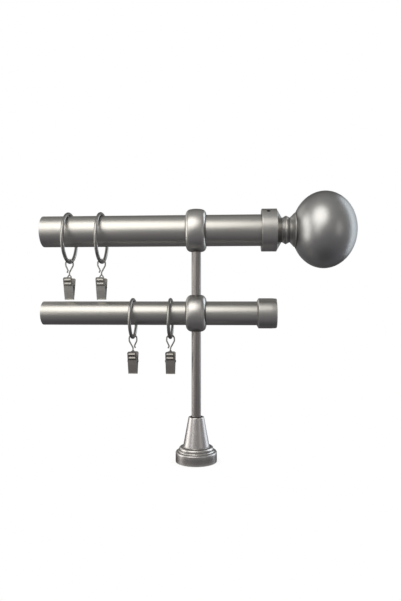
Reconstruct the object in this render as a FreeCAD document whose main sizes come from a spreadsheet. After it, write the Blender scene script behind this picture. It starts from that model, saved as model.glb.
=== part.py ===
"""Double curtain pole on one stepped wall arm, with ring clips, a ball finial and an end cap.

Frame, in millimetres: the origin is the middle of the wall face under the arm, +Z runs
out from the wall along the arm, and +X runs along both poles towards the finial.
"""

import FreeCAD
import Part

import math
import os
import re

import Sketcher

# Driving dimensions, in millimetres, or degrees where the name says so
SIZES = {
    # poles and where they stand
    "front_pole_diameter": 25.0,
    "rear_pole_diameter": 19.0,
    "pole_wall": 1.0,
    "rear_projection": 118.0,
    "pole_spacing": 66.0,
    "pole_overhang": 124.2,
    "pole_clearance": 0.2,
    "pole_end_gap": 0.4,
    # barrel holders and the arm that joins them
    "holder_width": 16.0,
    "front_holder_wall": 4.7,
    "rear_holder_wall": 5.3,
    "holder_crown_radius": 24.0,
    "holder_end_land": 0.8,
    "arm_diameter": 7.5,
    "thread_clearance": 0.05,
    "arm_end_gap": 0.4,
    # hidden wall plate and the cover that slides over it
    "plate_diameter": 29.2,
    "plate_thickness": 2.5,
    "boss_diameter": 12.4,
    "boss_height": 11.0,
    "socket_floor": 2.0,
    "screw_hole_diameter": 4.2,
    "screw_spacing": 20.4,
    "cover_clearance": 0.4,
    "cover_rim_wall": 1.5,
    "cover_skin": 1.2,
    "rim_height": 8.2,
    "rim_round": 1.3,
    "bead_diameter": 27.4,
    "bead_height": 11.6,
    "bead_round": 1.5,
    "bead_foot_round": 1.0,
    "cone_foot_diameter": 20.8,
    "cone_foot_rise": 0.9,
    "neck_diameter": 12.6,
    "neck_height": 35.3,
    "neck_round": 0.7,
    "neck_bore_diameter": 9.4,
    "neck_land": 2.0,
    # finial on the front pole
    "finial_start": 51.7,
    "collar_diameter": 33.8,
    "collar_length": 11.8,
    "collar_edge": 0.5,
    "collar_socket": 13.0,
    "waist_diameter": 18.9,
    "waist_place": 16.0,
    "bead_ring_diameter": 22.6,
    "bead_ring_place": 19.3,
    "second_waist_diameter": 19.3,
    "second_waist_place": 22.3,
    "seat_diameter": 27.0,
    "seat_flare_place": 26.0,
    "seat_place": 26.6,
    "turned_edge_round": 0.5,
    "ball_width": 50.6,
    "ball_diameter": 60.7,
    "ball_wall": 1.5,
    "ball_boss_depth": 6.0,
    "stud_diameter": 6.0,
    "stud_in_collar": 9.0,
    # end cap on the rear pole
    "cap_start": 48.3,
    "cap_diameter": 24.0,
    "cap_length": 15.6,
    "cap_socket": 13.4,
    "cap_lip": 0.3,
    "cap_bevel": 1.2,
    "cap_taper_length": 4.2,
    "cap_taper": 0.25,
    "cap_end_round": 0.8,
    # grub screws
    "grub_diameter": 3.0,
    "grub_key": 1.5,
    "grub_key_depth": 1.5,
    "grub_sink": 0.4,
    "finial_grub_place": 5.2,
    "finial_grub_lean_deg": 35.5,
    # curtain rings
    "front_ring_inner_diameter": 36.0,
    "rear_ring_inner_diameter": 27.8,
    "front_ring_wire": 2.8,
    "rear_ring_wire": 2.6,
    "ring_hang_gap": 0.15,
    "front_ring_1_place": 103.2,
    "front_ring_2_place": 76.8,
    "rear_ring_1_place": 51.1,
    "rear_ring_2_place": 20.7,
    # bent wire hook that hangs a clip on its ring
    "hook_wire": 1.2,
    "hook_inner_radius": 2.5,
    "hook_hip_drop": 1.7,
    "hook_hip_bend": 2.4,
    "hook_neck_drop": 7.3,
    "hook_throat": 1.15,
    "hook_throat_drop": 5.7,
    "hook_throat_bend": 1.0,
    "hook_tip_reach": 2.0,
    "hook_tip_drop": 7.6,
    "hook_stem_drop": 9.1,
    "hook_knee_drop": 11.0,
    "front_hook_pin_drop": 19.3,
    "rear_hook_pin_drop": 17.9,
    "hook_eye_spread": 1.52,
    "hook_leg_wire": 1.0,
    # sprung clip
    "pin_diameter": 1.2,
    "pin_head_diameter": 2.0,
    "pin_head_length": 0.6,
    "pin_clearance": 0.06,
    "jaw_width": 7.4,
    "jaw_sheet": 0.6,
    "jaw_gap": 0.3,
    "jaw_drop": 10.3,
    "jaw_lip_height": 0.8,
    "jaw_belly_height": 7.4,
    "jaw_belly": 2.4,
    "jaw_waist": 3.1,
    "jaw_handle_spread": 5.2,
    "front_handle_height": 7.9,
    "back_handle_height": 7.3,
    "jaw_corner_round": 1.5,
    "ear_round": 1.3,
    "ear_foot": 2.2,
    "ear_clearance": 0.1,
    "rib_length": 5.2,
    "rib_from_top": 2.5,
    "rib_pitch": 3.0,
    "rib_out": 1.2,
    "rib_rise": 1.6,
    "rib_fall": 1.2,
    "rib_round": 0.25,
    "spring_wire": 0.5,
    "spring_turns": 2.0,
    "spring_pitch": 0.56,
    "spring_clearance": 0.15,
    "spring_tail": 2.6,
    "spring_front_tail_deg": 35.0,
    "spring_back_tail_deg": 30.0,
}

# Sizes that follow from the driving ones, as expressions on them
DERIVED = {
    "front_projection": "rear_projection + pole_spacing",
    "front_bore": "front_pole_diameter / 2 + pole_clearance",
    "rear_bore": "rear_pole_diameter / 2 + pole_clearance",
    "front_pole_end": "finial_start + collar_socket - pole_end_gap",
    "rear_pole_end": "cap_start + cap_socket - pole_end_gap",
    "arm_hole": "arm_diameter / 2 + thread_clearance",
    "cover_radius": "plate_diameter / 2 + cover_clearance + cover_rim_wall",
    "grub_hole": "grub_diameter / 2 + thread_clearance",
    "seat_face": "finial_start + seat_place",
    "ball_centre": "seat_face + ball_width / 2 * sqrt(1 - (seat_diameter / ball_diameter) ^ 2)",
    "stud_hole": "stud_diameter / 2 + thread_clearance",
    "hook_radius": "hook_inner_radius + hook_wire / 2",
    "pin_hole": "pin_diameter / 2 + pin_clearance",
    "eye_radius": "pin_hole + hook_wire / 2",
    "jaw_lip": "jaw_gap / 2 + jaw_sheet / 2",
    "front_ear_place": "jaw_width / 2 - jaw_sheet",
    "back_ear_place": "front_ear_place - ear_clearance - jaw_sheet",
}

# The rings: name, pole it hangs on, and whether its hook's free end is on the left
RINGS = [
    ("front_ring_1", "front", True),
    ("front_ring_2", "front", True),
    ("rear_ring_1", "rear", False),
    ("rear_ring_2", "rear", True),
]

X_AXIS = FreeCAD.Vector(1, 0, 0)
Y_AXIS = FreeCAD.Vector(0, 1, 0)
Z_AXIS = FreeCAD.Vector(0, 0, 1)
NO_TURN = FreeCAD.Rotation()
Z_TO_X = FreeCAD.Rotation(Y_AXIS, 90)
X_TO_Z = FreeCAD.Rotation(Y_AXIS, -90)
Z_TO_BACK = FreeCAD.Rotation(X_AXIS, -90)
FACING_FRONT = FreeCAD.Rotation(Z_AXIS, 180)
ON_AXIS = 1e-9
SAME = 1e-4

doc = FreeCAD.newDocument("double_curtain_pole")
sheet = doc.addObject("Spreadsheet::Sheet", "Sizes")
for row, (alias, number) in enumerate(SIZES.items(), start=1):
    sheet.set(f"A{row}", alias)
    sheet.set(f"B{row}", str(number))
    sheet.setAlias(f"B{row}", alias)
doc.recompute()
sub_parts = []


def formula(size):
    """An expression on the sheet's cells, with every derived size written out."""

    def expand(match):
        word = match.group(0)
        if word in DERIVED:
            return "(" + formula(DERIVED[word]) + ")"
        return "Sizes." + word if word in SIZES else word

    return re.sub(r"[A-Za-z_][A-Za-z_0-9]*", expand, str(size))


def value(size):
    """The number that a size or an expression on sizes has now."""
    return float(sheet.evalExpression(formula(size)))


def bind(thing, prop, size):
    thing.setExpression(prop, formula(size))


def place(thing, x=0, y=0, z=0, turn=NO_TURN):
    """Turn an object and bind its place to the sheet."""
    thing.Placement = FreeCAD.Placement(FreeCAD.Vector(), turn)
    for letter, size in zip("xyz", (x, y, z)):
        bind(thing, f"Placement.Base.{letter}", size)


def named(thing, label):
    """Give a finished sub-part its own name."""
    thing.Label = label
    sub_parts.append(thing)
    return thing


def cylinder(name, radius, length, x=0, y=0, z=0, turn=NO_TURN):
    rod = doc.addObject("Part::Cylinder", name)
    bind(rod, "Radius", radius)
    bind(rod, "Height", length)
    place(rod, x, y, z, turn)
    return rod


def cut(name, base, *tools):
    """Take each tool away from the base."""
    for number, tool in enumerate(tools):
        step = doc.addObject("Part::Cut", f"{name}_cut_{number}")
        step.Base = base
        step.Tool = tool
        base = step
    return base


def new_sketch(body, plane, name):
    sketch = body.newObject("Sketcher::SketchObject", name)
    origin_plane = next(o for o in body.Origin.OriginFeatures if o.Role == plane)
    sketch.AttachmentSupport = (origin_plane, [""])
    sketch.MapMode = "FlatFace"
    return sketch


def pin_point(sketch, geometry, point, across, up):
    """Bind one point of a sketch to its place, from the sketch's origin."""
    for kind, other_axis, size in (("DistanceX", -2, across), ("DistanceY", -1, up)):
        distance = value(size)
        if abs(distance) < ON_AXIS:
            sketch.addConstraint(Sketcher.Constraint("PointOnObject", geometry, point, other_axis))
        elif distance > 0:
            index = sketch.addConstraint(Sketcher.Constraint(kind, -1, 1, geometry, point, distance))
            bind(sketch, f"Constraints[{index}]", size)
        else:
            index = sketch.addConstraint(Sketcher.Constraint(kind, geometry, point, -1, 1, -distance))
            bind(sketch, f"Constraints[{index}]", f"-({size})")


def outline(body, plane, name, points):
    """A closed outline. A point is (across, up), or (across, up, radius, turn) where an arc
    leads to it: turn is 1 for an arc that goes anticlockwise and -1 for a clockwise one."""
    sketch = new_sketch(body, plane, name)
    spots = [FreeCAD.Vector(value(p[0]), value(p[1]), 0) for p in points]
    ends = []
    for number, point in enumerate(points):
        start, stop = spots[number - 1], spots[number]
        if len(point) == 2:
            geometry = sketch.addGeometry(Part.LineSegment(start, stop))
            ends.append((geometry, 1, 2))
            continue
        radius, turn = value(point[2]), point[3]
        chord = stop - start
        half = chord.Length / 2
        side = FreeCAD.Vector(chord.y, -chord.x, 0).normalize() * turn
        rise = radius - math.sqrt(max(radius**2 - half**2, 0))
        middle = (start + stop) / 2 + side * rise
        first, last = (start, stop) if turn > 0 else (stop, start)
        geometry = sketch.addGeometry(Part.Arc(first, middle, last))
        index = sketch.addConstraint(Sketcher.Constraint("Radius", geometry, radius))
        bind(sketch, f"Constraints[{index}]", point[2])
        ends.append((geometry, 1, 2) if turn > 0 else (geometry, 2, 1))
    for number, (geometry, _, stop) in enumerate(ends):
        following, start, _ = ends[(number + 1) % len(ends)]
        sketch.addConstraint(Sketcher.Constraint("Coincident", geometry, stop, following, start))
        pin_point(sketch, geometry, stop, points[number][0], points[number][1])
    return sketch


def circles(body, plane, name, radius, *centres):
    sketch = new_sketch(body, plane, name)
    for across, up in centres:
        middle = FreeCAD.Vector(value(across), value(up), 0)
        geometry = sketch.addGeometry(Part.Circle(middle, Z_AXIS, value(radius)))
        index = sketch.addConstraint(Sketcher.Constraint("Radius", geometry, value(radius)))
        bind(sketch, f"Constraints[{index}]", radius)
        pin_point(sketch, geometry, 3, across, up)
    return sketch


def turned(name, points, axis):
    """A body turned about its own Z axis, with points (radius, height), or about its own
    X axis, with points (distance along it, radius)."""
    body = doc.addObject("PartDesign::Body", name)
    sketch = outline(body, "XZ_Plane", name + "_outline", points)
    doc.recompute()
    lathe = body.newObject("PartDesign::Revolution", name + "_turned")
    lathe.Profile = sketch
    lathe.ReferenceAxis = (sketch, ["V_Axis" if axis == "Z" else "H_Axis"])
    lathe.Angle = 360
    doc.recompute()
    return body


def pad(body, sketch, length, both_ways=True):
    feature = body.newObject("PartDesign::Pad", sketch.Name + "_pad")
    feature.Profile = sketch
    bind(feature, "Length", length)
    feature.Midplane = both_ways
    doc.recompute()
    return feature


def drill(body, sketch, both_ways=False):
    """A hole right through, from the sketch's plane backwards or both ways. It has to remove
    something."""
    before = body.Shape.Volume
    feature = body.newObject("PartDesign::Pocket", sketch.Name + "_hole")
    feature.Profile = sketch
    feature.Type = "ThroughAll"
    feature.Midplane = both_ways
    doc.recompute()
    if not body.Shape.Volume < before:
        raise RuntimeError(sketch.Name + " cuts nothing")


def round_edges(body, radius, wanted):
    """Fillet the edges of the body's last feature that the test picks."""
    last = body.Tip
    picked = [f"Edge{n}" for n, edge in enumerate(last.Shape.Edges, start=1) if wanted(edge)]
    feature = body.newObject("PartDesign::Fillet", body.Name + "_round")
    feature.Base = (last, picked)
    bind(feature, "Radius", radius)
    doc.recompute()


def ring_edge(*diameters):
    """A test for round edges of these diameters."""
    radii = [value(f"({d}) / 2") for d in diameters]

    def wanted(edge):
        curve = edge.Curve
        return isinstance(curve, Part.Circle) and any(abs(curve.Radius - r) < SAME for r in radii)

    return wanted


# The poles

def pole(label, diameter, height, end):
    length = f"pole_overhang + {end}"
    place_x = "-pole_overhang"
    outside = cylinder(label + "_outside", f"{diameter} / 2", length, place_x, 0, height, Z_TO_X)
    inside = cylinder(label + "_inside", f"{diameter} / 2 - pole_wall", length, place_x, 0, height, Z_TO_X)
    named(cut(label, outside, inside), label)


# The arm, its wall plate and its cover

def holder(label, bore, wall, height, both_ways):
    """A barrel round the pole, with a crowned outside, a hole for the arm and a grub screw."""
    half = "holder_width / 2"
    crown = f"({bore} + {wall})"
    end = f"({crown} - holder_crown_radius + sqrt(holder_crown_radius ^ 2 - ({half}) ^ 2))"
    body = turned(
        label + "_body",
        [
            ("holder_width", bore),
            ("holder_width", end),
            (0, end, "holder_crown_radius", 1),
            (0, bore),
        ],
        "X",
    )
    round_edges(body, f"{wall} - holder_end_land", ring_edge(f"2 * {end}"))
    drill(body, circles(body, "XY_Plane", label + "_arm", "arm_hole", (half, 0)), both_ways)
    drill(body, circles(body, "XZ_Plane", label + "_grub", "grub_hole", (half, 0)))
    place(body, f"-({half})", 0, height)
    named(body, label)
    grub_screw(label + "_grub_screw", f"{bore} - pole_clearance", crown, 0, height, Z_TO_BACK)


def grub_screw(label, pole_radius, outer_radius, x, height, turn):
    """A headless screw with a hex key hole, which points at the pole's axis."""
    seat = f"({pole_radius} + thread_clearance)"
    length = f"({outer_radius} - grub_sink - {seat})"
    toward = turn.multVec(Z_AXIS)
    key_at = f"({seat} + {length} - grub_key_depth)"
    screw = cylinder(label + "_shank", "grub_diameter / 2", length)
    key = doc.addObject("Part::Prism", label + "_key")
    key.Polygon = 6
    bind(key, "Circumradius", "grub_key / sqrt(3)")
    bind(key, "Height", "2 * grub_key_depth")
    for thing, out in ((screw, seat), (key, key_at)):
        place(thing, x, f"{out} * ({toward.y:.9f})", f"{height} + {out} * ({toward.z:.9f})", turn)
    named(cut(label, screw, key), label)


def arm():
    rear_start = "rear_projection + rear_pole_diameter / 2 + arm_end_gap"
    rear_stop = "rear_projection - rear_pole_diameter / 2 - arm_end_gap"
    front_stop = "front_projection - front_pole_diameter / 2 - arm_end_gap"
    radius = "arm_diameter / 2"
    named(cylinder("rear_arm", radius, f"{rear_stop} - socket_floor", z="socket_floor"), "rear_arm_rod")
    named(cylinder("front_arm", radius, f"{front_stop} - ({rear_start})", z=rear_start), "front_arm_rod")


def wall_plate():
    body = turned(
        "wall_plate_body",
        [
            (0, 0),
            ("plate_diameter / 2", 0),
            ("plate_diameter / 2", "plate_thickness"),
            ("boss_diameter / 2", "plate_thickness"),
            ("boss_diameter / 2", "boss_height"),
            ("arm_hole", "boss_height"),
            ("arm_hole", "socket_floor"),
            (0, "socket_floor"),
        ],
        "Z",
    )
    side = "screw_spacing / 2"
    centres = ((side, 0), (f"-({side})", 0))
    holes = circles(body, "XY_Plane", "wall_plate_screws", "screw_hole_diameter / 2", *centres)
    drill(body, holes, both_ways=True)
    named(body, "wall_plate")


def wall_cover():
    """A hollow rosette: rim, bead and tall cone, with a loose hole for the arm at the top."""
    bead, foot, neck = "bead_diameter / 2", "cone_foot_diameter / 2", "neck_diameter / 2"
    foot_height = "bead_height + cone_foot_rise"
    body = turned(
        "wall_cover_body",
        [
            ("cover_radius - cover_rim_wall", 0),
            ("cover_radius", 0),
            ("cover_radius", "rim_height - rim_round"),
            ("cover_radius - rim_round", "rim_height", "rim_round", 1),
            (f"{bead} + bead_foot_round", "rim_height"),
            (bead, "rim_height + bead_foot_round", "bead_foot_round", 1),
            (bead, "bead_height - bead_round"),
            (f"{bead} - bead_round", "bead_height", "bead_round", 1),
            (f"{foot} + cone_foot_rise", "bead_height"),
            (foot, foot_height, "cone_foot_rise", -1),
            (neck, "neck_height - neck_round"),
            (f"{neck} - neck_round", "neck_height", "neck_round", 1),
            ("neck_bore_diameter / 2", "neck_height"),
            ("neck_bore_diameter / 2", "neck_height - neck_land"),
            (f"{foot} - cover_skin", foot_height),
            (f"{foot} - cover_skin", "bead_height - cover_skin"),
            (f"{bead} - cover_skin", "bead_height - cover_skin"),
            (f"{bead} - cover_skin", "rim_height - cover_skin"),
            ("cover_radius - cover_rim_wall", "rim_height - cover_skin"),
        ],
        "Z",
    )
    named(body, "wall_cover")


# The finial and the end cap

def finial_collar():
    body = turned(
        "finial_collar_body",
        [
            (0, "front_bore"),
            (0, "collar_diameter / 2 - collar_edge"),
            ("collar_edge", "collar_diameter / 2", "collar_edge", -1),
            ("collar_length", "collar_diameter / 2"),
            ("waist_place", "waist_diameter / 2"),
            ("bead_ring_place", "bead_ring_diameter / 2"),
            ("second_waist_place", "second_waist_diameter / 2"),
            ("seat_flare_place", "seat_diameter / 2"),
            ("seat_place", "seat_diameter / 2"),
            ("seat_place", "stud_hole"),
            ("seat_place - stud_in_collar", "stud_hole"),
            ("seat_place - stud_in_collar", 0),
            ("collar_socket", 0),
            ("collar_socket", "front_bore"),
        ],
        "X",
    )
    waists = ("waist_diameter", "bead_ring_diameter", "second_waist_diameter")
    round_edges(body, "turned_edge_round", ring_edge(*waists))
    lean = FreeCAD.Rotation(X_AXIS, value("finial_grub_lean_deg"))
    place(body, "finial_start", 0, "front_projection")
    hole_length = "collar_diameter"
    hole_x = "finial_start + finial_grub_place"
    hole = cylinder("finial_grub_hole", "grub_hole", hole_length, hole_x, 0, "front_projection", lean)
    named(cut("finial_collar", body, hole), "finial_collar")
    pole_radius = "front_pole_diameter / 2"
    grub_screw("finial_grub_screw", pole_radius, "collar_diameter / 2", hole_x, "front_projection", lean)


def ellipsoid(name, half_width, radius):
    ball = doc.addObject("Part::Ellipsoid", name)
    bind(ball, "Radius1", half_width)
    bind(ball, "Radius2", radius)
    bind(ball, "Radius3", radius)
    place(ball, "ball_centre", 0, "front_projection", Z_TO_X)
    return ball


def finial_ball():
    """A slightly flattened hollow ball with a flat seat, and a boss inside it for the stud."""
    outside = ellipsoid("ball_outside", "ball_width / 2", "ball_diameter / 2")
    inside = ellipsoid("ball_inside", "ball_width / 2 - ball_wall", "ball_diameter / 2 - ball_wall")
    height = "front_projection"
    seat = cylinder("ball_seat", "ball_diameter", "ball_width", "seat_face - ball_width", 0, height, Z_TO_X)
    boss_start = "seat_face + ball_boss_depth - ball_width"
    boss = cylinder("ball_boss", "ball_diameter", "ball_width", boss_start, 0, height, Z_TO_X)
    hole_start = "seat_face - ball_boss_depth / 2"
    hole = cylinder("ball_hole", "stud_hole", "2 * ball_boss_depth", hole_start, 0, height, Z_TO_X)
    hollow = cut("ball_hollow", inside, boss)
    named(cut("finial_ball", outside, seat, hollow, hole), "finial_ball")
    stud_start = "seat_face - stud_in_collar"
    stud_length = "stud_in_collar + ball_boss_depth"
    named(cylinder("stud", "stud_diameter / 2", stud_length, stud_start, 0, height, Z_TO_X), "finial_stud")


def end_cap():
    full = "cap_diameter / 2"
    narrow = "(cap_diameter / 2 - cap_taper)"
    body = turned(
        "end_cap_body",
        [
            (0, "rear_bore"),
            (0, "rear_bore + cap_lip"),
            ("cap_bevel", full),
            ("cap_length - cap_taper_length", full),
            ("cap_length - cap_end_round", narrow),
            ("cap_length", f"{narrow} - cap_end_round", "cap_end_round", -1),
            ("cap_length", 0),
            ("cap_socket", 0),
            ("cap_socket", "rear_bore"),
        ],
        "X",
    )
    place(body, "cap_start", 0, "rear_projection")
    named(body, "end_cap")


# A ring with its hook and sprung clip

def curtain_ring(label, side, x, height):
    ring = doc.addObject("Part::Torus", label + "_torus")
    bind(ring, "Radius1", f"({side}_ring_inner_diameter + {side}_ring_wire) / 2")
    bind(ring, "Radius2", f"{side}_ring_wire / 2")
    place(ring, x, 0, height, Z_TO_X)
    named(ring, label)


def bend(before, corner, after, radius):
    """The ends and the middle of the arc that rounds a corner."""
    back = (before - corner).normalize()
    on = (after - corner).normalize()
    half = back.getAngle(on) / 2
    reach = radius / math.tan(half)
    middle = corner + (back + on).normalize() * (radius / math.sin(half) - radius)
    return corner + back * reach, middle, corner + on * reach


def wire_along(path, diameter):
    """A round wire along a path."""
    start = path.OrderedEdges[0]
    face_on = start.tangentAt(start.FirstParameter)
    section = Part.Wire([Part.makeCircle(diameter / 2, start.valueAt(start.FirstParameter), face_on)])
    return path.makePipeShell([section], True, True)


def hook(label, x, height, pin_drop, free_end_left):
    """An open loop that rides on the ring, a free end, a stem, and two legs to the clip's pin.
    It is drawn about the middle of its loop."""
    radius = value("hook_radius")
    tip = FreeCAD.Vector(-value("hook_tip_reach"), 0, -value("hook_tip_drop"))
    throat = FreeCAD.Vector(-value("hook_throat"), 0, -value("hook_throat_drop"))
    left = FreeCAD.Vector(-radius, 0, 0)
    crown = FreeCAD.Vector(0, 0, radius)
    right = FreeCAD.Vector(radius, 0, 0)
    to_hip = Z_AXIS * -value("hook_hip_drop")
    neck = FreeCAD.Vector(0, 0, -value("hook_neck_drop"))
    foot = FreeCAD.Vector(0, 0, -value("hook_stem_drop"))
    hip_bend = value("hook_hip_bend")
    curl = bend(tip, throat, left + to_hip, value("hook_throat_bend"))
    left_hip = bend(throat, left + to_hip, left, hip_bend)
    right_hip = bend(right, right + to_hip, neck, hip_bend)
    shoulder = bend(right + to_hip, neck, foot, hip_bend)
    edges = [
        Part.LineSegment(tip, curl[0]),
        Part.Arc(*curl),
        Part.LineSegment(curl[2], left_hip[0]),
        Part.Arc(*left_hip),
        Part.LineSegment(left_hip[2], left),
        Part.Arc(left, crown, right),
        Part.LineSegment(right, right_hip[0]),
        Part.Arc(*right_hip),
        Part.LineSegment(right_hip[2], shoulder[0]),
        Part.Arc(*shoulder),
        Part.LineSegment(shoulder[2], foot),
    ]
    shape = wire_along(Part.Wire([edge.toShape() for edge in edges]), value("hook_wire"))
    joint = Part.makeSphere(value("hook_wire") / 2 + value("pin_clearance"), foot)
    extras = [joint]
    for side in (-1, 1):
        eye = FreeCAD.Vector(side * value("hook_eye_spread"), 0, -value(pin_drop))
        eye_top = eye + Z_AXIS * value("eye_radius")
        knee = FreeCAD.Vector(eye.x, 0, -value("hook_knee_drop"))
        leg_radius = value("hook_leg_wire") / 2
        extras.append(Part.makeSphere(leg_radius + value("pin_clearance"), knee))
        for start, stop in ((foot, knee), (knee, eye_top)):
            extras.append(Part.makeCylinder(leg_radius, (stop - start).Length, start, stop - start))
        extras.append(Part.makeTorus(value("eye_radius"), value("hook_wire") / 2, eye, X_AXIS))
    shape = shape.fuse(extras).removeSplitter()
    if not free_end_left:
        shape = shape.mirror(FreeCAD.Vector(), X_AXIS)
    feature = doc.addObject("Part::Feature", label + "_wire")
    feature.Shape = shape
    place(feature, x, 0, height)
    named(feature, label)


def jaw(label, x, pin_height, handle, ear_place, turn):
    """Half of a clip, in sheet metal: a gripping lip, a belly, a ribbed handle, and two folded
    sides with ears on the pin. Its own origin is under the pin, at the lip's lower edge."""
    half = "jaw_sheet / 2"
    top = f"(jaw_drop + {handle})"
    lean = "((jaw_handle_spread - jaw_waist) / front_handle_height)"
    centre_line = [
        ("jaw_lip", "0"),
        ("jaw_lip", "jaw_lip_height"),
        ("jaw_belly", "jaw_belly_height"),
        ("jaw_waist", "jaw_drop"),
        (f"jaw_waist + {lean} * {handle}", top),
    ]
    outer = [(f"{out} + {half}", up) for out, up in centre_line]
    inner = [(f"{out} - {half}", up) for out, up in reversed(centre_line)]
    body = doc.addObject("PartDesign::Body", label + "_body")
    pad(body, outline(body, "YZ_Plane", label + "_sheet", outer + inner), "jaw_width")
    tall = value(top)
    round_edges(
        body,
        "jaw_corner_round",
        lambda edge: edge.BoundBox.XLength < SAME and edge.BoundBox.ZMin > tall - SAME,
    )
    ear_outline = [
        (f"jaw_waist + {lean} * ear_foot", "jaw_drop + ear_foot"),
        (0, "jaw_drop + ear_round"),
        ("-ear_round", "jaw_drop", "ear_round", 1),
        (0, "jaw_drop - ear_round", "ear_round", 1),
        ("jaw_lip", "jaw_lip_height"),
        ("jaw_belly", "jaw_belly_height"),
        ("jaw_waist", "jaw_drop"),
    ]
    for side, inside in (("left", f"-({ear_place}) - jaw_sheet"), ("right", ear_place)):
        ear = outline(body, "YZ_Plane", f"{label}_{side}_ear", ear_outline)
        bind(ear, "AttachmentOffset.Base.z", inside)
        pad(body, ear, "jaw_sheet", both_ways=False)
    crests = []
    for number in range(2):
        crest = f"({handle} - rib_from_top - {number} * rib_pitch)"
        rib_outline = [
            (f"jaw_waist + {lean} * ({crest} - rib_fall)", f"jaw_drop + {crest} - rib_fall"),
            (f"jaw_waist + {lean} * {crest} + rib_out", f"jaw_drop + {crest}"),
            (f"jaw_waist + {lean} * ({crest} + rib_rise)", f"jaw_drop + {crest} + rib_rise"),
        ]
        pad(body, outline(body, "YZ_Plane", f"{label}_rib_{number}", rib_outline), "rib_length")
        crests.append(value(rib_outline[1][1]))
    longest = value("rib_length")
    round_edges(
        body,
        "rib_round",
        lambda edge: abs(edge.BoundBox.XLength - longest) < SAME
        and any(abs(edge.BoundBox.Center.z - height) < SAME for height in crests),
    )
    hole = circles(body, "YZ_Plane", label + "_pin_hole", "pin_hole", (0, "jaw_drop"))
    drill(body, hole, both_ways=True)
    place(body, x, 0, f"{pin_height} - jaw_drop", turn)
    named(body, label)


def clip_pin(label, x, pin_height):
    head = "pin_head_length"
    shank = "jaw_width + 2 * pin_clearance"
    far = f"{head} + {shank}"
    body = turned(
        label + "_body",
        [
            (0, 0),
            (f"{far} + {head}", 0),
            (f"{far} + {head}", "pin_head_diameter / 2"),
            (far, "pin_head_diameter / 2"),
            (far, "pin_diameter / 2"),
            (head, "pin_diameter / 2"),
            (head, "pin_head_diameter / 2"),
            (0, "pin_head_diameter / 2"),
        ],
        "X",
    )
    place(body, f"{x} - ({far} + {head}) / 2", 0, pin_height)
    named(body, label)


def clip_spring(label, x, pin_height):
    """A torsion spring: a coil round the pin, and two tails that press the handles apart. It is
    drawn with its coil along Z and its tails towards X, and stands turned."""
    wire = value("spring_wire")
    mean = value("pin_diameter") / 2 + value("spring_clearance") + wire / 2
    pitch = value("spring_pitch")
    length = pitch * value("spring_turns")
    coil = wire_along(Part.Wire(Part.makeHelix(pitch, length, mean).Edges), wire)
    coil.translate(FreeCAD.Vector(0, 0, -length / 2))
    shape = coil
    for end, lean in ((-1, -value("spring_front_tail_deg")), (1, value("spring_back_tail_deg"))):
        angle = math.radians(lean)
        foot = FreeCAD.Vector(mean, 0, end * length / 2)
        along = FreeCAD.Vector(math.cos(angle), math.sin(angle), 0)
        tail_radius = (wire - value("thread_clearance")) / 2
        tail = Part.makeCylinder(tail_radius, value("spring_tail"), foot, along)
        shape = shape.fuse(tail)
    feature = doc.addObject("Part::Feature", label + "_coil")
    feature.Shape = shape
    place(feature, x, 0, pin_height, X_TO_Z)
    named(feature, label)


def hanging_clip(label, side, free_end_left):
    """One ring on its pole, with the hook and the clip that hang from it."""
    x = f"-{label}_place"
    inner = f"{side}_ring_inner_diameter / 2"
    pole_top = f"({side}_projection + {side}_pole_diameter / 2)"
    ring_centre = f"({pole_top} + ring_hang_gap - {inner})"
    loop = f"({ring_centre} - {inner} + ring_hang_gap - hook_inner_radius)"
    pin_drop = f"{side}_hook_pin_drop"
    pin = f"({loop} - {pin_drop})"
    curtain_ring(label, side, x, ring_centre)
    hook(label + "_hook", x, loop, pin_drop, free_end_left)
    jaw(label + "_clip_front", x, pin, "front_handle_height", "front_ear_place", FACING_FRONT)
    jaw(label + "_clip_back", x, pin, "back_handle_height", "back_ear_place", NO_TURN)
    clip_pin(label + "_clip_pin", x, pin)
    clip_spring(label + "_clip_spring", x, pin)


def write_parts():
    """Check every object, then write each sub-part to a file of its own name."""
    doc.recompute()
    for thing in doc.Objects:
        if "Invalid" in thing.State or "Error" in thing.State:
            raise RuntimeError(f"{thing.Label} failed: {thing.State}")
    for thing in sub_parts:
        shape = thing.Shape
        if shape.isNull() or not shape.isValid() or not shape.Solids:
            raise RuntimeError(f"{thing.Label} has no valid solid")
    os.makedirs("parts", exist_ok=True)
    for thing in sub_parts:
        thing.Shape.exportStep(f"parts/{thing.Label}.step")
        print(f"{thing.Label}: {len(thing.Shape.Solids)} solid, {thing.Shape.Volume:.1f} mm3")


pole("front_pole", "front_pole_diameter", "front_projection", "front_pole_end")
pole("rear_pole", "rear_pole_diameter", "rear_projection", "rear_pole_end")
holder("front_holder", "front_bore", "front_holder_wall", "front_projection", False)
holder("rear_holder", "rear_bore", "rear_holder_wall", "rear_projection", True)
arm()
wall_plate()
wall_cover()
finial_collar()
finial_ball()
end_cap()
for ring_label, ring_side, free_left in RINGS:
    hanging_clip(ring_label, ring_side, free_left)
write_parts()
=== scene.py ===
"""Satin nickel looks, soft studio light and a camera for a double curtain pole on its wall arm."""

import functools
import math
import operator
from typing import NamedTuple

import bmesh
import bpy
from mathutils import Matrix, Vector


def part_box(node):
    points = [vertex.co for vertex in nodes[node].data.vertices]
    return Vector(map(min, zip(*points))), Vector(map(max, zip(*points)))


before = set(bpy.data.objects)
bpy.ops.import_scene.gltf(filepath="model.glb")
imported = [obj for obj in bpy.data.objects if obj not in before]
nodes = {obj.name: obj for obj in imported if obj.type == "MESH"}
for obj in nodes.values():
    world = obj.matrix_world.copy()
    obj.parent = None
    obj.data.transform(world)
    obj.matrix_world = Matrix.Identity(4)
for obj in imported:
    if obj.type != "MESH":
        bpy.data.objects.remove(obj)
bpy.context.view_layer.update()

MM = 0.001


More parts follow.
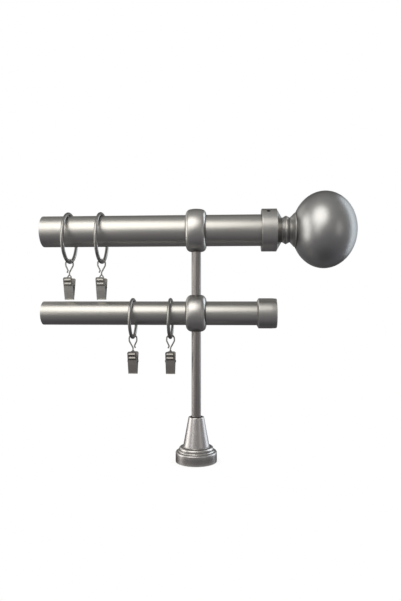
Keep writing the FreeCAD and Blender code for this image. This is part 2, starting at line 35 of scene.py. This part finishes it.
class Grain(NamedTuple):
    """A noise pattern: its waves per metre along each axis, how many finer layers it has, and how
    far it moves the roughness of its finish."""

    waves: tuple
    layers: int = 2
    swing: float = 0.0


class Lamp(NamedTuple):
    """A soft oval lamp: its distance in metres, its azimuth, elevation, half width and half height
    in degrees, as seen from its target, its radiance and its colour. Azimuth 0 is on the camera's
    side, and it grows to the right."""

    distance: float
    azimuth: float
    elevation: float
    half_wide: float
    half_tall: float
    radiance: float
    colour: tuple


# The camera that took the photograph: it stands a little to the right and looks back to the left
PHOTO_HEIGHT = 601
FOCAL_PIXELS = 535
SENSOR = 36.0
CAMERA_PLACE = Vector((29.5, -427.0, 128.2)) * MM
CAMERA_TURN = math.radians(3.5)
CAMERA_LEVEL = math.radians(90)
CLIP_START = 0.01
CLIP_END = 100

# Nickel plate in its several finishes, and the other metals, as linear colours
SATIN_LIGHT = (0.395, 0.388, 0.374, 1)
SATIN_DARK = (0.335, 0.329, 0.316, 1)
TURNED_LIGHT = (0.405, 0.398, 0.388, 1)
TURNED_DARK = (0.348, 0.342, 0.333, 1)
COVER_LIGHT = (0.452, 0.436, 0.438, 1)
COVER_DARK = (0.344, 0.332, 0.333, 1)
ARM_LIGHT = (0.258, 0.243, 0.239, 1)
ARM_DARK = (0.208, 0.195, 0.192, 1)
BALL_LIGHT = (0.350, 0.349, 0.348, 1)
BALL_DARK = (0.292, 0.292, 0.293, 1)
# Brighter nickel: wear, and also painted highlights and painted light on the collar and the foot
WORN_AND_HIGHLIGHT_NICKEL = (0.520, 0.510, 0.490, 1)
# Dark colour: grime, and also painted shade on the collar, on the foot and under the clips' ribs
GRIME_AND_SHADE = (0.120, 0.115, 0.105, 1)
RING_LIGHT = (0.300, 0.295, 0.286, 1)
RING_DARK = (0.230, 0.226, 0.219, 1)
BARE_STEEL = (0.300, 0.295, 0.285, 1)
# The front pole's clips and the rear pole's clips are lit and shaded copies of one plate: the rear ones
# are painted darker, painted shade
CLIP_LIGHT_LIT_AND_SHADED = {"front": (0.465, 0.457, 0.432, 1), "rear": (0.370, 0.354, 0.330, 1)}
CLIP_DARK_LIT_AND_SHADED = {"front": (0.353, 0.347, 0.328, 1), "rear": (0.278, 0.266, 0.248, 1)}
HOOK_LIGHT = (0.300, 0.294, 0.284, 1)
HOOK_DARK = (0.220, 0.216, 0.208, 1)
DULL_STEEL = (0.160, 0.156, 0.150, 1)
BLACK_STEEL = (0.035, 0.034, 0.033, 1)
ZINC_LIGHT = (0.500, 0.510, 0.520, 1)
ZINC_DARK = (0.370, 0.375, 0.360, 1)

# How dark nickel is at a grazing angle, against its colour from the front: on most pieces, and on
# the arm and its foot
EDGE_TINT = (0.26, 0.26, 0.26, 1)
ARM_EDGE_TINT = (0.10, 0.10, 0.10, 1)

# Noise lies evenly about this level
NOISE_MEAN = 0.5

# Poles: brushed along, a little cloudy, and scratched along the top where the rings run. RUNWAY is
# the share of the radius above which they run, and TUBE_SKIN how deep the plated outside reaches
POLE_BRUSHING = Grain((60, 4500, 4500), swing=0.10)
POLE_CLOUDS = Grain((14, 90, 90), swing=0.06)
POLE_SCRATCHES = Grain((25, 1600, 1600), layers=1)
POLE_BRUSHING_SHARE = 0.6
POLE_ROUGHNESS = 0.38
POLE_RELIEF = 0.004 * MM
TUBE_ROUGHNESS = 0.56
TUBE_SKIN = 0.5 * MM
RUNWAY = 0.90
RUNWAY_SCRATCHES = (0.50, 0.62)
RUNWAY_WEAR = 0.6
RUNWAY_POLISH = 0.08

# Turned pieces: the fine rings of the lathe, and broad and patchy unevenness
LATHE_RINGS = Grain((900, 300, 1), layers=1, swing=0.08)
TURNED_CLOUDS = Grain((120, 120, 120), swing=0.06)
TURNED_PATCHES = Grain((250, 250, 250))
PATCH_LEVELS = (0.35, 0.65)
LATHE_RINGS_SHARE = 0.5
TURNED_ROUGHNESS = 0.38
TURNED_RELIEF = 0.002 * MM

# Lighter and darker lines on the turned pieces, in millimetres from the piece's left or lower end. On
# the holders and the cap, and at the collar's left end, they are wear on the edges and grime at the
# ends. On the collar's neck, from 17 mm on, the lighter lines are painted highlights and the darker
# ones painted shade. The collar's chamfer, from 12 to 15 mm, is lightened all over with painted light.
# On the foot, the lines up to 12 mm are painted highlights and painted shade along its profile. The
# darker line at 0 is painted shade where the foot meets the wall, and the lighter line at 34.9 mm
# lightens its top edge.
WEAR_AND_HIGHLIGHT_AT = {
    "front_holder": (1.2, 14.8),
    "rear_holder": (1.2, 14.8),
    "finial_collar": (0.3, 12.0, 13.0, 14.0, 15.0, 17.2, 19.7, 23.3, 26.6),
    "end_cap": (1.2, 15.0),
    "wall_cover": (9.0, 11.2, 34.9),
}
GRIME_AND_SHADE_AT = {
    "front_holder": (0.0, 16.0),
    "rear_holder": (0.0, 16.0),
    "finial_collar": (0.0, 18.4, 21.8, 25.2),
    "end_cap": (0.0,),
    "wall_cover": (0.0, 8.2, 9.8, 12.0),
}
EDGE_WIDTH = 0.8
WEAR_AND_HIGHLIGHT_LEAST = 0.6
WEAR_AND_HIGHLIGHT_DEPTH = 0.8
WEAR_AND_HIGHLIGHT_POLISH = 0.06
GRIME_AND_SHADE_GAPS = 0.5
GRIME_AND_SHADE_DEPTH = 0.6
GRIME_AND_SHADE_ROUGHNESS = 0.15

# The foot's rim is darkened towards the wall, from this height down: painted shade
PAINTED_SHADE_FROM = {"wall_cover": 8 * MM}
PAINTED_SHADE_FADE = 4 * MM
PAINTED_SHADE_DEPTH = 0.9

# The flat end of the cap is faced off and coarse, from this distance along the cap
FACED_FROM = {"end_cap": 15.4 * MM}
FACED_FADE = 0.15 * MM
FACED_ROUGHNESS = 0.25

# Ball: a faint mottle, a fine skin and the rings of spinning, with grime in the seam at its seat
BALL_MOTTLE = Grain((160, 160, 160), layers=4, swing=0.06)
BALL_SKIN = Grain((1500, 1500, 1500))
BALL_SPINNING = Grain((2400, 1, 1), layers=3, swing=0.06)
BALL_MOTTLE_SHARE = 0.7
BALL_SKIN_SHARE = 0.6
BALL_ROUGHNESS = 0.38
BALL_RELIEF = 0.003 * MM
SEAM_EDGE = 0.9 * MM
SEAM_CORE = 0.3 * MM
SEAM_GRIME = 0.7

# Rings and other wire. A ring is rubbed bright on its inside, RUB_DEPTH of the wire deep, and more
# and more between RUB_HEIGHTS, which are shares of its inner radius
WIRE_CLOUDS = Grain((400, 400, 400), layers=3, swing=0.12)
WIRE_SKIN = Grain((2600, 2600, 2600))
WIRE_RELIEF = 0.004 * MM
RING_ROUGHNESS = 0.34
HOOK_ROUGHNESS = 0.40
SPRING_ROUGHNESS = 0.36
SCREW_ROUGHNESS = 0.42
RUB_DEPTH = 0.35
RUB_HEIGHTS = (0.4, 0.9)
RUB_POLISH = 0.08

# Clip jaws: the long lines of rolling, and broad unevenness
SHEET_ROLLING = Grain((5200, 5200, 160), swing=0.12)
SHEET_CLOUDS = Grain((300, 300, 300))
SHEET_ROLLING_SHARE = 0.6
SHEET_ROUGHNESS = 0.46
SHEET_RELIEF = 0.004 * MM

# A jaw's sheet: how far its middle is from the clip's middle at the lip, how much it leans, and how
# softly its inside begins
JAW_LIP = 0.45 * MM
JAW_LEAN = 0.261
JAW_SOFT = 0.1 * MM

# The pressed ribs of a clip's handle, which are made darker in colour, and the painted shade at their
# feet, in millimetres below its top
RIB_TOPS = (1.7, 4.7)
RIB_WIDTH = 1.3
RIB_DARKENING = 0.75
RIB_FEET = (3.6, 6.6)
RIB_FOOT_WIDTH = 0.8
RIB_FOOT_SHADE = 0.9
RIB_FOOT_ROUGHNESS = 0.10

# Zinc plate with its spangle
ZINC_SPANGLE = Grain((500, 500, 500), layers=4, swing=0.20)
ZINC_ROUGHNESS = 0.40
ZINC_RELIEF = 0.004 * MM

# Lamps and what they point at
WARM_WHITE = (1.0, 0.975, 0.92)
COOL_WHITE = (0.85, 0.935, 1.0)
LAMP_TARGET = Vector((0, 0, 150)) * MM
LAMPS = {
    "softbox": Lamp(0.55, -24, 38, 27, 27, 2.6, WARM_WHITE),
    "left_panel": Lamp(1.0, -90, 5, 21, 29, 2.5, WARM_WHITE),
    "left_back_panel": Lamp(1.0, -138, 20, 18, 24, 0.9, WARM_WHITE),
    "left_front_panel": Lamp(1.0, -37, 0, 10, 13, 1.5, WARM_WHITE),
    "right_front_panel": Lamp(1.0, 47, 0, 9, 15, 0.7, WARM_WHITE),
    "right_panel": Lamp(1.0, 123, 12, 23, 35, 2.4, COOL_WHITE),
}

# Floor: it is whole as far as FLOOR_FADE from the arm, and gone at FLOOR_RADIUS
WHITE = (1, 1, 1, 1)
FLOOR_PALE = (0.85, 0.85, 0.85, 1)
FLOOR_GLOW = 0.85
FLOOR_FADE = 16 * MM
FLOOR_RADIUS = 23 * MM
FLOOR_SIDES = 128
FLOOR_DROP = 0.05 * MM

# Room: its colour from straight down, at 0, to straight up, at 1, and how far from the camera's
# line the white behind the object reaches, whole and faded
ROOM_LEVELS = (
    (0.0, (0.10, 0.10, 0.105, 1)),
    (0.12, (0.265, 0.254, 0.270, 1)),
    (0.30, (0.302, 0.292, 0.304, 1)),
    (0.50, (0.40, 0.395, 0.385, 1)),
    (1.0, (0.52, 0.515, 0.50, 1)),
)
BEHIND_CORE = math.radians(22)
BEHIND_EDGE = math.radians(30)


class Shade:
    """A shader socket that can be used in sums."""

    def __init__(self, finish, socket):
        self.finish = finish
        self.socket = socket

    def sum_of(self, operation, first, second):
        return self.finish.node("Math", {"operation": operation}, {0: first, 1: second})

    def __add__(self, other):
        return self.sum_of("ADD", self, other)

    def __radd__(self, other):
        return self.sum_of("ADD", other, self)

    def __sub__(self, other):
        return self.sum_of("SUBTRACT", self, other)

    def __rsub__(self, other):
        return self.sum_of("SUBTRACT", other, self)

    def __mul__(self, other):
        return self.sum_of("MULTIPLY", self, other)

    def __rmul__(self, other):
        return self.sum_of("MULTIPLY", other, self)

    def __pow__(self, other):
        return self.sum_of("POWER", self, other)

    def __gt__(self, other):
        return self.sum_of("GREATER_THAN", self, other)

    def __or__(self, other):
        return self.sum_of("MAXIMUM", self, other)

    def __abs__(self):
        return self.sum_of("ABSOLUTE", self, 0)


class Finish:
    """A material, or the world, and its node tree."""

    def __init__(self, owner):
        self.owner = owner
        owner.use_nodes = True
        self.tree = owner.node_tree
        self.tree.nodes.clear()

    def node(self, kind, settings, inputs, output=0):
        """Add a node: its settings first, then the values or links of its sockets."""
        made = self.tree.nodes.new("ShaderNode" + kind)
        for key, value in settings.items():
            if key == "stops":
                self.set_stops(made.color_ramp, value)
            else:
                setattr(made, key, value)
        for key, value in inputs.items():
            if isinstance(value, Shade):
                self.tree.links.new(value.socket, made.inputs[key])
            else:
                made.inputs[key].default_value = value
        return Shade(self, made.outputs[output]) if len(made.outputs) else None

    def set_stops(self, ramp, stops):
        while len(ramp.elements) < len(stops):
            ramp.elements.new(1)
        for element, (position, colour) in zip(ramp.elements, stops):
            element.position = position
            element.color = colour

    def colour_mix(self, factor, first, second):
        inputs = {"Factor": factor, 6: first, 7: second}
        return self.node("Mix", {"data_type": "RGBA"}, inputs, 2)

    def spot(self, centre):
        """The place on the object, measured from a point of it."""
        coordinates = self.node("TexCoord", {}, {}, "Object")
        return self.node("VectorMath", {"operation": "SUBTRACT"}, {0: coordinates, 1: centre})

    def along(self, axis, spot):
        """How far a spot lies along an axis."""
        return self.node("SeparateXYZ", {}, {0: spot}, axis)

    def radius(self, axis, spot):
        """How far a spot lies from an axis."""
        first, second = (self.along(other, spot) for other in "XYZ" if other != axis)
        return (first * first + second * second) ** 0.5

    def grain(self, spot, grain):
        """Noise from 0 to 1 with its own scale along each axis."""
        stretched = self.node("VectorMath", {"operation": "MULTIPLY"}, {0: spot, 1: grain.waves})
        return self.node("TexNoise", {}, {"Vector": stretched, "Scale": 1, "Detail": grain.layers})

    def roughness(self, level, *noises):
        """A level that noises move up and down, each by its grain's swing."""
        for grain, noise in noises:
            level = level + grain.swing * (noise - NOISE_MEAN)
        return level

    def fade(self, value, start, stop):
        """0 at the start, 1 at the stop, and smooth between them."""
        limits = {"Value": value, "From Min": start, "From Max": stop}
        return self.node("MapRange", {"interpolation_type": "SMOOTHSTEP"}, limits)

    def lines_at(self, distance, places, width):
        """1 on each of these places along a distance, and 0 a width away from them. The places and
        the width are in millimetres."""
        lines = 0 * distance
        for place in places:
            lines = lines | self.fade(abs(distance - place * MM), width * MM, 0)
        return lines

    def metal(self, colour, roughness, height, depth, edge=EDGE_TINT):
        """The finished shader: metal of a colour and roughness, with a fine relief."""
        bump = self.node("Bump", {}, {"Strength": 1, "Distance": depth, "Height": height})
        surface = self.node(
            "BsdfPrincipled",
            {},
            {
                "Base Color": colour,
                "Metallic": 1,
                "Roughness": roughness,
                "Specular Tint": edge,
                "Normal": bump,
            },
        )
        self.node("OutputMaterial", {}, {"Surface": surface})
        return self.owner


def blend(first, second, share):
    """A share of the first shade, and the rest of the second."""
    return share * first + (1 - share) * second


def middle(node):
    low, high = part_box(node)
    return (low + high) / 2


def new_finish(name):
    return Finish(bpy.data.materials.new(name))


# Finishes

def satin_pole(name, node):
    """Satin plate brushed along the pole, rubbed where rings slide, and bare steel in the tube."""
    finish = new_finish(name)
    low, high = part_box(node)
    outer = (high.z - low.z) / 2
    spot = finish.spot(middle(node))
    brushing = finish.grain(spot, POLE_BRUSHING)
    clouds = finish.grain(spot, POLE_CLOUDS)
    scratches = finish.fade(finish.grain(spot, POLE_SCRATCHES), *RUNWAY_SCRATCHES)
    outside = finish.radius("X", spot) > outer - TUBE_SKIN
    brightened = finish.fade(finish.along("Z", spot), RUNWAY * outer, outer) * scratches
    plate = finish.colour_mix(blend(brushing, clouds, POLE_BRUSHING_SHARE), SATIN_DARK, SATIN_LIGHT)
    lightened = finish.colour_mix(RUNWAY_WEAR * brightened, plate, WORN_AND_HIGHLIGHT_NICKEL)
    colour = finish.colour_mix(outside, BARE_STEEL, lightened)
    level = TUBE_ROUGHNESS + (POLE_ROUGHNESS - TUBE_ROUGHNESS) * outside - RUNWAY_POLISH * brightened
    roughness = finish.roughness(level, (POLE_BRUSHING, brushing), (POLE_CLOUDS, clouds))
    return finish.metal(colour, roughness, brushing, POLE_RELIEF)


def satin_turned(name, node, axis, dark, light):
    """Satin plate with the fine rings that a lathe leaves, about the X or the Z axis. It is lighter on
    its edges and darker in its grooves: wear and grime on the holders and the cap, painted highlights
    and painted shade on the collar's neck and along the foot's profile, painted light over the collar's
    chamfer, and painted shade on the foot's rim towards the wall."""
    finish = new_finish(name)
    low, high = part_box(node)
    length = high.x - low.x if axis == "X" else high.z - low.z
    spot = finish.spot(middle(node))
    distance = finish.along(axis, spot)
    from_end = distance + length / 2
    ring_spot = finish.node("CombineXYZ", {}, {"X": distance, "Y": finish.radius(axis, spot)})
    rings = finish.grain(ring_spot, LATHE_RINGS)
    clouds = finish.grain(spot, TURNED_CLOUDS)
    patchy = finish.fade(finish.grain(spot, TURNED_PATCHES), *PATCH_LEVELS)
    # Lighter lines: wear on the holders and the cap, and painted highlights and painted light on the
    # collar and the foot
    wear_and_highlight_lines = finish.lines_at(from_end, WEAR_AND_HIGHLIGHT_AT.get(node, ()), EDGE_WIDTH)
    lightened = wear_and_highlight_lines * (WEAR_AND_HIGHLIGHT_LEAST + (1 - WEAR_AND_HIGHLIGHT_LEAST) * patchy)
    # Darker lines: grime on the holders, the cap and the collar's end, and painted shade on the
    # collar's neck and the foot
    grime_and_shade_lines = finish.lines_at(from_end, GRIME_AND_SHADE_AT.get(node, ()), EDGE_WIDTH)
    darkened = grime_and_shade_lines * (1 - GRIME_AND_SHADE_GAPS * patchy)
    # Painted shade on the foot's rim, darker towards the wall
    painted_shade = finish.fade(PAINTED_SHADE_FROM.get(node, 0) - from_end, 0, PAINTED_SHADE_FADE)
    faced = finish.fade(from_end - FACED_FROM.get(node, length), 0, FACED_FADE)
    plate = finish.colour_mix(blend(rings, clouds, LATHE_RINGS_SHARE), dark, light)
    brightened = finish.colour_mix(WEAR_AND_HIGHLIGHT_DEPTH * lightened, plate, WORN_AND_HIGHLIGHT_NICKEL)
    colour = finish.colour_mix(GRIME_AND_SHADE_DEPTH * (darkened | PAINTED_SHADE_DEPTH * painted_shade), brightened, GRIME_AND_SHADE)
    satin = finish.roughness(TURNED_ROUGHNESS, (LATHE_RINGS, rings), (TURNED_CLOUDS, clouds))
    roughness = satin - WEAR_AND_HIGHLIGHT_POLISH * lightened + GRIME_AND_SHADE_ROUGHNESS * darkened + FACED_ROUGHNESS * faced
    edge = EDGE_TINT if axis == "X" else ARM_EDGE_TINT
    return finish.metal(colour, roughness, rings, TURNED_RELIEF, edge)


def satin_ball(name, node):
    """Satin plate over a spun ball: smooth, with a faint mottle and fine spinning rings."""
    finish = new_finish(name)
    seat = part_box(node)[0].x - middle(node).x
    spot = finish.spot(middle(node))
    distance = finish.along("X", spot)
    mottle = finish.grain(spot, BALL_MOTTLE)
    skin = finish.grain(spot, BALL_SKIN)
    spun = finish.grain(finish.node("CombineXYZ", {}, {"X": distance}), BALL_SPINNING)
    plate = finish.colour_mix(blend(mottle, spun, BALL_MOTTLE_SHARE), BALL_DARK, BALL_LIGHT)
    seam = finish.fade(distance, seat + SEAM_EDGE, seat + SEAM_CORE)
    colour = finish.colour_mix(SEAM_GRIME * seam, plate, GRIME_AND_SHADE)
    roughness = finish.roughness(BALL_ROUGHNESS, (BALL_MOTTLE, mottle), (BALL_SPINNING, spun))
    return finish.metal(colour, roughness, blend(skin, spun, BALL_SKIN_SHARE), BALL_RELIEF)


def ring_nickel(name, node):
    """Darkened plate on a ring's wire, rubbed bright inside its top where it runs on the pole."""
    finish = new_finish(name)
    low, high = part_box(node)
    wire = high.x - low.x
    inner = (high.z - low.z) / 2 - wire
    spot = finish.spot(middle(node))
    clouds = finish.grain(spot, WIRE_CLOUDS)
    skin = finish.grain(spot, WIRE_SKIN)
    inside = finish.fade(finish.radius("X", spot), inner + RUB_DEPTH * wire, inner)
    brightened = inside * finish.fade(finish.along("Z", spot), *(share * inner for share in RUB_HEIGHTS))
    plate = finish.colour_mix(clouds, RING_DARK, RING_LIGHT)
    colour = finish.colour_mix(brightened, plate, WORN_AND_HIGHLIGHT_NICKEL)
    roughness = finish.roughness(RING_ROUGHNESS, (WIRE_CLOUDS, clouds)) - RUB_POLISH * brightened
    return finish.metal(colour, roughness, skin, WIRE_RELIEF)


def drawn_wire(name, light, dark, level):
    """Drawn wire or a small turned screw, a little uneven."""
    finish = new_finish(name)
    spot = finish.spot(Vector())
    clouds = finish.grain(spot, WIRE_CLOUDS)
    skin = finish.grain(spot, WIRE_SKIN)
    colour = finish.colour_mix(clouds, dark, light)
    roughness = finish.roughness(level, (WIRE_CLOUDS, clouds))
    return finish.metal(colour, roughness, skin, WIRE_RELIEF)


def pressed_sheet(name, node):
    """Plate on a pressed clip jaw: the long lines of rolling, ribs made darker in colour with painted
    shade under them, and a dull inside. The rear pole's clips get a darker copy of the plate: painted
    shade."""
    finish = new_finish(name)
    low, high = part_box(node)
    spot = finish.spot(Vector((0, 0, low.z)))
    height = finish.along("Z", spot)
    below_top = high.z - low.z - height
    rolling = finish.grain(spot, SHEET_ROLLING)
    clouds = finish.grain(spot, SHEET_CLOUDS)
    from_sheet = abs(finish.along("Y", spot)) - JAW_LEAN * height
    inside = finish.fade(from_sheet, JAW_LIP + JAW_SOFT, JAW_LIP - JAW_SOFT)
    # The ribs are made darker in colour
    ribs = finish.lines_at(below_top, RIB_TOPS, RIB_WIDTH)
    # Painted shade under each rib
    darkened = finish.lines_at(below_top, RIB_FEET, RIB_FOOT_WIDTH)
    pole = node.split("_")[0]
    mixed = blend(rolling, clouds, SHEET_ROLLING_SHARE)
    # The rear pole's clips get the darker copy of the plate: painted shade
    plate = finish.colour_mix(mixed, CLIP_DARK_LIT_AND_SHADED[pole], CLIP_LIGHT_LIT_AND_SHADED[pole])
    pressed = finish.colour_mix(RIB_DARKENING * ribs, plate, DULL_STEEL)
    grooved = finish.colour_mix(RIB_FOOT_SHADE * darkened, pressed, GRIME_AND_SHADE)
    colour = finish.colour_mix(inside, grooved, DULL_STEEL)
    roughness = finish.roughness(SHEET_ROUGHNESS, (SHEET_ROLLING, rolling)) + RIB_FOOT_ROUGHNESS * darkened
    return finish.metal(colour, roughness, rolling, SHEET_RELIEF)


def zinc_plate(name):
    """Bright zinc with its spangle."""
    finish = new_finish(name)
    spangle = finish.grain(finish.spot(Vector()), ZINC_SPANGLE)
    colour = finish.colour_mix(spangle, ZINC_DARK, ZINC_LIGHT)
    roughness = finish.roughness(ZINC_ROUGHNESS, (ZINC_SPANGLE, spangle))
    return finish.metal(colour, roughness, spangle, ZINC_RELIEF)


def dress(node, material):
    """Give a CAD node its finish."""
    mesh = nodes[node].data
    mesh.materials.clear()
    mesh.materials.append(material)


def dress_all():
    for node in ("front_pole", "rear_pole"):
        dress(node, satin_pole(node + "_satin", node))
    for node in ("front_holder", "rear_holder", "finial_collar", "end_cap"):
        dress(node, satin_turned(node + "_satin", node, "X", TURNED_DARK, TURNED_LIGHT))
    dress("wall_cover", satin_turned("wall_cover_satin", "wall_cover", "Z", COVER_DARK, COVER_LIGHT))
    for node in ("rear_arm_rod", "front_arm_rod"):
        dress(node, satin_turned(node + "_satin", node, "Z", ARM_DARK, ARM_LIGHT))
    dress("finial_ball", satin_ball("finial_ball_satin", "finial_ball"))
    zinc = zinc_plate("zinc")
    for node in ("wall_plate", "finial_stud"):
        dress(node, zinc)
    black = drawn_wire("black_steel", DULL_STEEL, BLACK_STEEL, SCREW_ROUGHNESS)
    hook_wire = drawn_wire("hook_nickel", HOOK_LIGHT, HOOK_DARK, HOOK_ROUGHNESS)
    spring_wire = drawn_wire("spring_steel", DULL_STEEL, DULL_STEEL, SPRING_ROUGHNESS)
    for node in nodes:
        if node.endswith("grub_screw"):
            dress(node, black)
        elif node.endswith("_hook"):
            dress(node, hook_wire)
        elif node.endswith(("_clip_front", "_clip_back")):
            dress(node, pressed_sheet(node + "_nickel", node))
        elif node.endswith(("_clip_pin", "_clip_spring")):
            dress(node, spring_wire)
        elif "_ring_" in node:
            dress(node, ring_nickel(node + "_nickel", node))


# Studio

def rays(finish, *kinds):
    """1 for rays of these kinds, and 0 for the rest."""
    chosen = [finish.node("LightPath", {}, {}, f"Is {kind} Ray") for kind in kinds]
    return functools.reduce(operator.or_, chosen)


def floor():
    """A small pale floor that fades out round the foot and keeps its shadow."""
    finish = new_finish("floor_white")
    pale = finish.node("BsdfDiffuse", {}, {"Color": FLOOR_PALE})
    white = finish.node("Emission", {}, {"Color": WHITE, "Strength": 1})
    seen = rays(finish, "Camera", "Glossy", "Transmission")
    lit = finish.node("MixShader", {}, {0: FLOOR_GLOW * seen, 1: pale, 2: white})
    nothing = finish.node("BsdfTransparent", {}, {})
    gone = finish.fade(finish.radius("Z", finish.spot(Vector())), FLOOR_FADE, FLOOR_RADIUS)
    surface = finish.node("MixShader", {}, {0: gone, 1: lit, 2: nothing})
    finish.node("OutputMaterial", {}, {"Surface": surface})
    mesh = bpy.data.meshes.new("floor")
    disc = bmesh.new()
    bmesh.ops.create_circle(disc, cap_ends=True, segments=FLOOR_SIDES, radius=FLOOR_RADIUS)
    disc.to_mesh(mesh)
    disc.free()
    mesh.materials.append(finish.owner)
    piece = bpy.data.objects.new("floor", mesh)
    piece.location.z = -FLOOR_DROP
    bpy.context.scene.collection.objects.link(piece)


def room():
    """A white background, which metal shows where it lies behind the object. The rest of the room
    is dim, and darker below."""
    world = bpy.data.worlds.new("studio")
    bpy.context.scene.world = world
    finish = Finish(world)
    direction = finish.node("TexCoord", {}, {}, "Generated")
    upward = 0.5 * finish.along("Z", direction) + 0.5
    level = finish.node("ValToRGB", {"stops": ROOM_LEVELS}, {0: upward})
    glow = finish.node("Background", {}, {"Color": level, "Strength": 1})
    white = finish.node("Background", {}, {"Color": WHITE, "Strength": 1})
    ahead = Vector((-math.sin(CAMERA_TURN), math.cos(CAMERA_TURN), 0))
    toward = finish.node("VectorMath", {"operation": "DOT_PRODUCT"}, {0: direction, 1: ahead}, "Value")
    behind = finish.fade(toward, math.cos(BEHIND_EDGE), math.cos(BEHIND_CORE))
    shown = rays(finish, "Camera") | rays(finish, "Glossy", "Transmission") * behind
    surface = finish.node("MixShader", {}, {0: shown, 1: glow, 2: white})
    finish.node("OutputWorld", {}, {"Surface": surface})


def panel(name, lamp):
    """Set up a lamp, which the camera doesn't see."""
    turn, rise = math.radians(lamp.azimuth), math.radians(lamp.elevation)
    away = Vector((math.sin(turn) * math.cos(rise), -math.cos(turn) * math.cos(rise), math.sin(rise)))
    data = bpy.data.lights.new(name, "AREA")
    data.shape = "ELLIPSE"
    data.size = 2 * lamp.distance * math.tan(math.radians(lamp.half_wide))
    data.size_y = 2 * lamp.distance * math.tan(math.radians(lamp.half_tall))
    data.energy = math.pi * data.size * data.size_y * lamp.radiance
    data.color = lamp.colour
    stand = bpy.data.objects.new(name, data)
    stand.location = LAMP_TARGET + away * lamp.distance
    stand.rotation_euler = (-away).to_track_quat("-Z", "Y").to_euler()
    stand.visible_camera = False
    bpy.context.scene.collection.objects.link(stand)


def camera():
    data = bpy.data.cameras.new("camera")
    data.sensor_width = SENSOR
    data.lens = SENSOR * FOCAL_PIXELS / PHOTO_HEIGHT
    data.clip_start = CLIP_START
    data.clip_end = CLIP_END
    eye = bpy.data.objects.new("camera", data)
    eye.location = CAMERA_PLACE
    eye.rotation_euler = (CAMERA_LEVEL, 0, CAMERA_TURN)
    bpy.context.scene.collection.objects.link(eye)
    bpy.context.scene.camera = eye


dress_all()
floor()
room()
for lamp_name, lamp_settings in LAMPS.items():
    panel(lamp_name, lamp_settings)
camera()
bpy.context.scene.view_settings.view_transform = "Standard"
